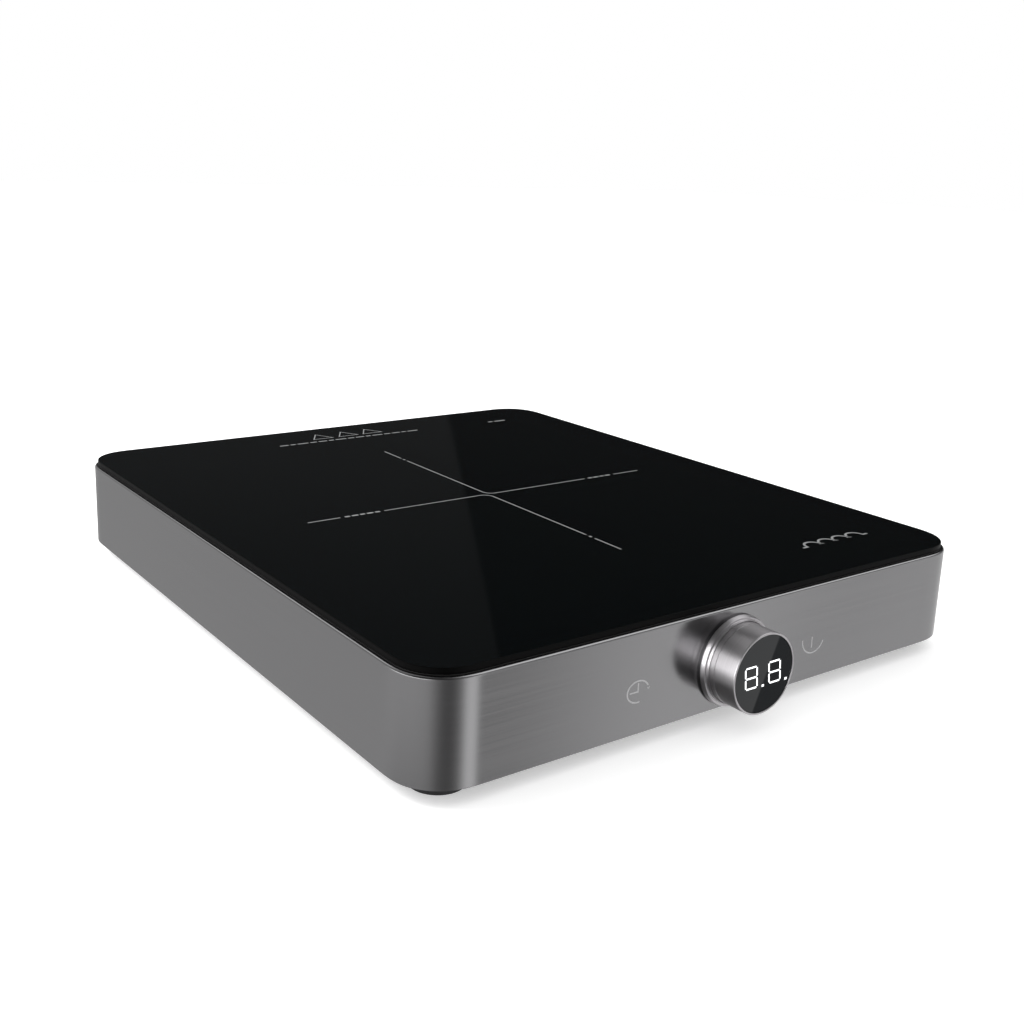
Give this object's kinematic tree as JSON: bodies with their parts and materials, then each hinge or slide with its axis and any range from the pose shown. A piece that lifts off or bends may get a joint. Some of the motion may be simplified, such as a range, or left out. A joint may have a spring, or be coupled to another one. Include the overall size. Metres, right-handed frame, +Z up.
{
  "type": "portable induction cooktop",
  "caption": "Free-standing induction cooktop: glass plate on a rounded metal band, with a turn-and-push knob that shows digits, rubber feet, a coil, electronics and a fan inside.",
  "frame": {"origin": "on the table, in the middle of the whole object's footprint, knob and cord gland included", "axes": "+X to the right seen from the front, +Y from the knob to the rear wall, +Z up out of the glass"},
  "size_m": [0.3, 0.3692, 0.0519],
  "materials": {
    "brushed_band": "satin brushed",
    "knob_metal": "satin turned",
    "black_glass": "gloss",
    "lens_black": "gloss",
    "gasket_rubber": "matt",
    "foot_rubber": "matt",
    "tray_plastic": "fine grain",
    "black_plastic": "matt",
    "white_plastic": "matt",
    "zinc_steel": "zinc plated",
    "aluminium": "extruded",
    "copper": "varnished wire",
    "brass": "plain",
    "ferrite": "sintered",
    "mica": "matt",
    "circuit_board": "solder mask"
  },
  "bodies": {
    "housing": {"side_band": "brushed_band", "glass_top": "black_glass", "glass_gasket": "gasket_rubber", "base_tray": "tray_plastic", "rear_louvre": "tray_plastic", "cord_gland": "tray_plastic", "gland_nut": "tray_plastic", "foot_front_left": "foot_rubber", "foot_front_right": "foot_rubber", "foot_rear_left": "foot_rubber", "foot_rear_right": "foot_rubber", "base_screw_front_left": "zinc_steel", "base_screw_front_right": "zinc_steel", "base_screw_rear_left": "zinc_steel", "base_screw_rear_right": "zinc_steel", "band_bracket_front_left": "zinc_steel", "band_bracket_front_right": "zinc_steel", "band_bracket_rear_left": "zinc_steel", "band_bracket_rear_right": "zinc_steel", "coil_former": "white_plastic", "coil_winding": "copper", "coil_lead_outer": "copper", "coil_lead_inner": "copper", "choke": "copper", "thermistor": "brass", "collar_nut": "brass", "mica_sheet": "mica", "ferrite_bar_1": "ferrite", "ferrite_bar_2": "ferrite", "ferrite_bar_3": "ferrite", "ferrite_bar_4": "ferrite", "ferrite_bar_5": "ferrite", "ferrite_bar_6": "ferrite", "power_board": "circuit_board", "control_board": "circuit_board", "igbt": "black_plastic", "bridge_rectifier": "black_plastic", "aux_transformer": "black_plastic", "fan_frame": "black_plastic", "encoder_sensor": "black_plastic", "push_switch": "black_plastic", "buzzer": "black_plastic", "control_bracket": "black_plastic", "heat_sink": "aluminium", "resonant_capacitor": "white_plastic", "filter_capacitor": "white_plastic", "terminal_block": "white_plastic", "knob_bush": "white_plastic", "core_guide": "white_plastic", "knob_collar": "knob_metal"},
    "push_core": {"display_core": "black_plastic", "display_module": "white_plastic", "knob_lens": "lens_black", "switch_plunger": "white_plastic", "retaining_clip": "zinc_steel"},
    "turn_ring": {"knob_ring": "knob_metal", "encoder_wheel": "zinc_steel"},
    "fan": {"fan_rotor": "black_plastic"}
  },
  "joints": [
    {"name": "knob_push", "type": "slide", "parent": "housing", "child": "push_core", "axis": [0, 1, 0], "range_m": [0, 0.001], "stiffness_N_per_m": 2500},
    {"name": "knob_turn", "type": "hinge", "parent": "push_core", "child": "turn_ring", "pos_m": [-0.0014, -0.16795, 0.0262], "axis": [0, -1, 0], "continuous": true},
    {"name": "fan_spin", "type": "hinge", "parent": "housing", "child": "fan", "pos_m": [-0.078, 0.12155, 0.0203], "axis": [0, 0, 1], "continuous": true}
  ]
}
